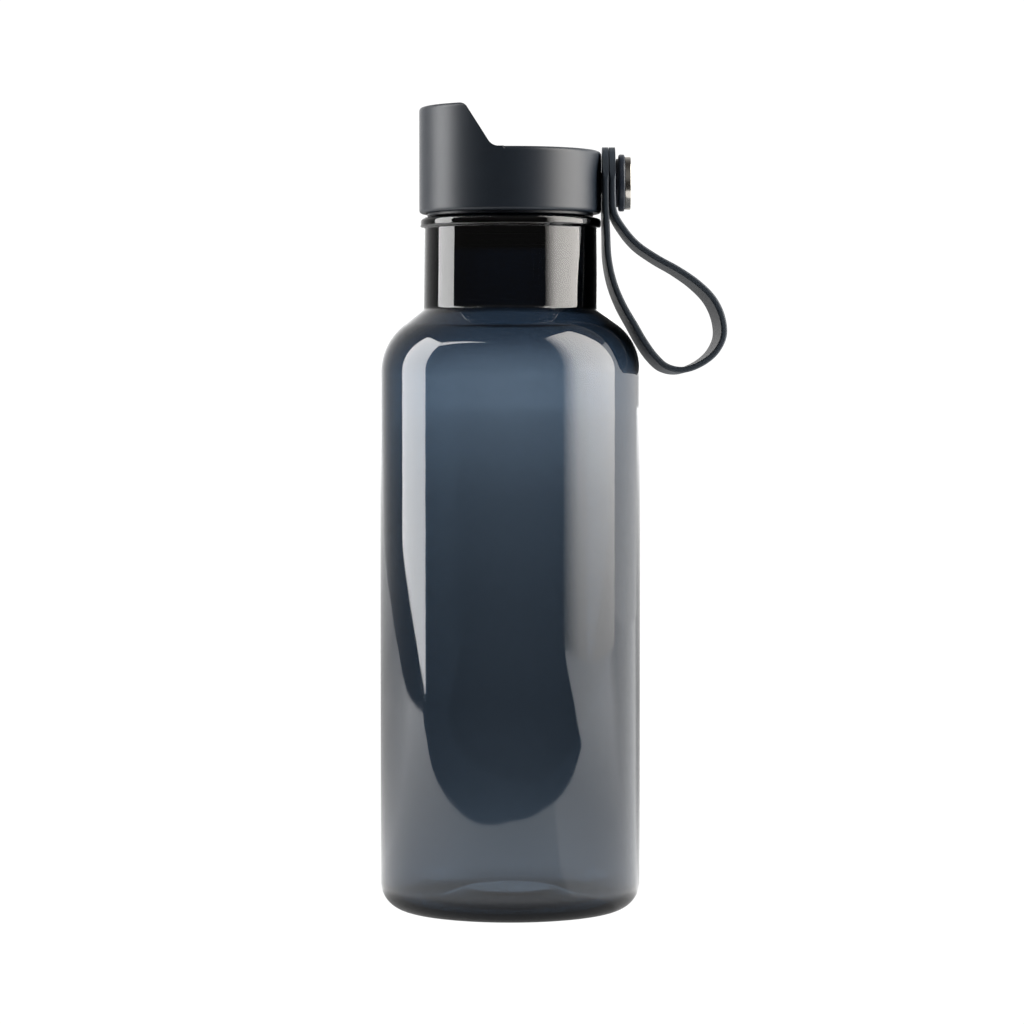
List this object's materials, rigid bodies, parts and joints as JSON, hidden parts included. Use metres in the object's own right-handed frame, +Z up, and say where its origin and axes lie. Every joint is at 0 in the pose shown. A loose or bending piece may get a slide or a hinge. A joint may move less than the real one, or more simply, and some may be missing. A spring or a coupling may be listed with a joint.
{
  "type": "drinking bottle",
  "caption": "Tall clear rigid drinking bottle with a screw lid, a raised spout under a flip-up flap, and a soft carry loop on a side button.",
  "frame": {"origin": "on the table, under the middle of the whole outline (body and strap); the bottle's own axis is 12.0 mm towards -X from it", "axes": "+Z up along the bottle, +X from the bottle's axis towards the strap and its button, -X towards the spout"},
  "size_m": [0.0972, 0.0732, 0.2257],
  "materials": {
    "tinted_clear_plastic": "clear plastic with a smoky blue-grey tint, polished",
    "navy_lid_plastic": "very dark navy, fine satin texture",
    "navy_liner_plastic": "near-black, plain moulded",
    "seal_silicone": "pale translucent grey silicone",
    "strap_silicone": "dark navy silicone, dry matte",
    "button_plastic": "dark navy, satin",
    "button_steel": "turned stainless steel",
    "pin_steel": "plain stainless steel"
  },
  "bodies": {
    "bottle": {"bottle_body": "tinted_clear_plastic"},
    "seal_ring": {"lid_gasket": "seal_silicone"},
    "lid": {"lid_shell": "navy_lid_plastic", "lid_liner": "navy_liner_plastic", "vent_valve": "seal_silicone", "hinge_pin": "pin_steel", "button_base": "button_plastic", "button_screw": "pin_steel", "button_cap": "button_steel"},
    "flap": {"drink_flap": "navy_lid_plastic", "flap_plug": "seal_silicone"},
    "strap": {"carry_strap": "strap_silicone"}
  },
  "joints": [
    {"name": "lid_rise", "type": "slide", "parent": "bottle", "child": "seal_ring", "axis": [0, 0, 1], "range_m": [0, 0.016]},
    {"name": "lid_turn", "type": "hinge", "parent": "seal_ring", "child": "lid", "pos_m": [-0.01195, 0, 0.2], "axis": [0, 0, 1], "range_deg": [0, 720]},
    {"name": "flap_hinge", "type": "hinge", "parent": "lid", "child": "flap", "pos_m": [-0.01448, 0, 0.21257], "axis": [0, 1, 0], "range_deg": [0, 120]},
    {"name": "strap_swivel", "type": "hinge", "parent": "lid", "child": "strap", "pos_m": [0.0157, 0, 0.20467], "axis": [1, 0, 0], "continuous": true}
  ],
  "couplings": [
    {"joint": "lid_rise", "follows": "lid_turn", "m_per_rad": 0.0012732}
  ]
}
